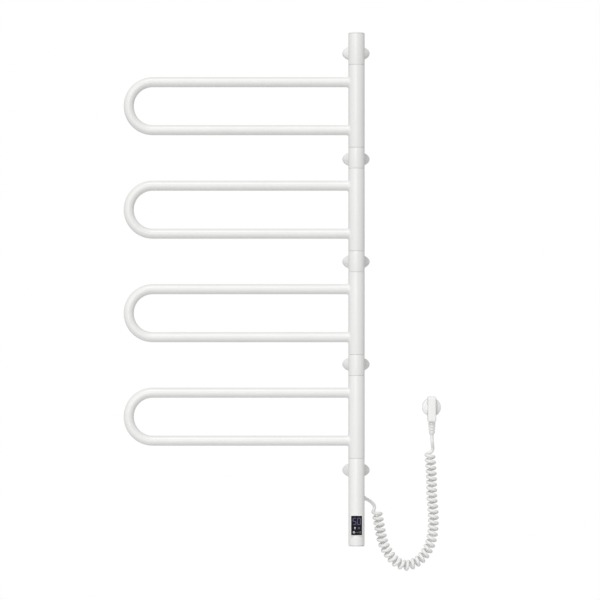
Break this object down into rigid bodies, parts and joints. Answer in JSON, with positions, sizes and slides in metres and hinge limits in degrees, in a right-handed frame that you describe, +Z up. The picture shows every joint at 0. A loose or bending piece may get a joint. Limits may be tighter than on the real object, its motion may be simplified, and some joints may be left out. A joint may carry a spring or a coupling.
{
  "type": "towel warmer rack",
  "caption": "Wall-mounted electric towel warmer: a round column with swivelling U-shaped heated arms, a touch display and a curly supply cord.",
  "frame": {"origin": "centre of the middle bracket's screw pattern, on the wall plane", "axes": "+Z up, +Y into the wall, +X to the right as seen from the room; at rest the arms point to -X"},
  "size_m": [0.6368, 0.1081, 1.081],
  "materials": {
    "white_enamel": "satin powder coat",
    "zinc_steel": "zinc plated",
    "white_plastic": "moulded, satin",
    "white_nylon": "moulded nylon",
    "black_glass": "gloss black touch panel",
    "circuit_board": "solder mask",
    "black_plastic": "moulded",
    "cable_sheath": "silicone",
    "cord_white": "smooth soft PVC",
    "nickel": "nickel plated"
  },
  "bodies": {
    "column": {"mast": "zinc_steel", "spacer_rings": "white_nylon", "top_tube": "white_enamel", "top_cap": "white_plastic", "collar_1": "white_enamel", "collar_2": "white_enamel", "collar_3": "white_enamel", "control_housing": "white_enamel", "bottom_cap": "white_plastic", "wall_plate_1": "zinc_steel", "wall_plate_2": "zinc_steel", "wall_plate_3": "zinc_steel", "wall_plate_4": "zinc_steel", "wall_plate_5": "zinc_steel", "post_1": "white_enamel", "post_2": "white_enamel", "post_3": "white_enamel", "post_4": "white_enamel", "post_5": "white_enamel", "rosette_1": "white_enamel", "rosette_2": "white_enamel", "rosette_3": "white_enamel", "rosette_4": "white_enamel", "rosette_5": "white_enamel", "grub_screws": "zinc_steel", "display_bezel": "white_plastic", "display_glass": "black_glass", "display_board": "circuit_board", "control_board": "circuit_board", "relay": "black_plastic", "terminal_block": "white_nylon", "wiring_harness": "cable_sheath", "cord_gland": "white_plastic", "cord_lead": "cord_white", "cord_curl": "cord_white", "cord_tail": "cord_white", "plug_body": "white_plastic", "plug_relief": "cord_white", "plug_pins": "nickel", "earth_contacts": "nickel"},
    "arm_1": {"sleeve_1": "white_enamel", "arm_tube_1": "white_enamel", "heating_cable_1": "cable_sheath", "bushes_1": "white_nylon"},
    "arm_2": {"sleeve_2": "white_enamel", "arm_tube_2": "white_enamel", "heating_cable_2": "cable_sheath", "bushes_2": "white_nylon"},
    "arm_3": {"sleeve_3": "white_enamel", "arm_tube_3": "white_enamel", "heating_cable_3": "cable_sheath", "bushes_3": "white_nylon"},
    "arm_4": {"sleeve_4": "white_enamel", "arm_tube_4": "white_enamel", "heating_cable_4": "cable_sheath", "bushes_4": "white_nylon"}
  },
  "joints": [
    {"name": "arm_1_swing", "type": "hinge", "parent": "column", "child": "arm_1", "pos_m": [0, -0.065, 0.3105], "axis": [0, 0, 1], "range_deg": [0, 180]},
    {"name": "arm_2_swing", "type": "hinge", "parent": "column", "child": "arm_2", "pos_m": [0, -0.065, 0.1035], "axis": [0, 0, 1], "range_deg": [0, 180]},
    {"name": "arm_3_swing", "type": "hinge", "parent": "column", "child": "arm_3", "pos_m": [0, -0.065, -0.1035], "axis": [0, 0, 1], "range_deg": [0, 180]},
    {"name": "arm_4_swing", "type": "hinge", "parent": "column", "child": "arm_4", "pos_m": [0, -0.065, -0.3105], "axis": [0, 0, 1], "range_deg": [0, 180]}
  ]
}
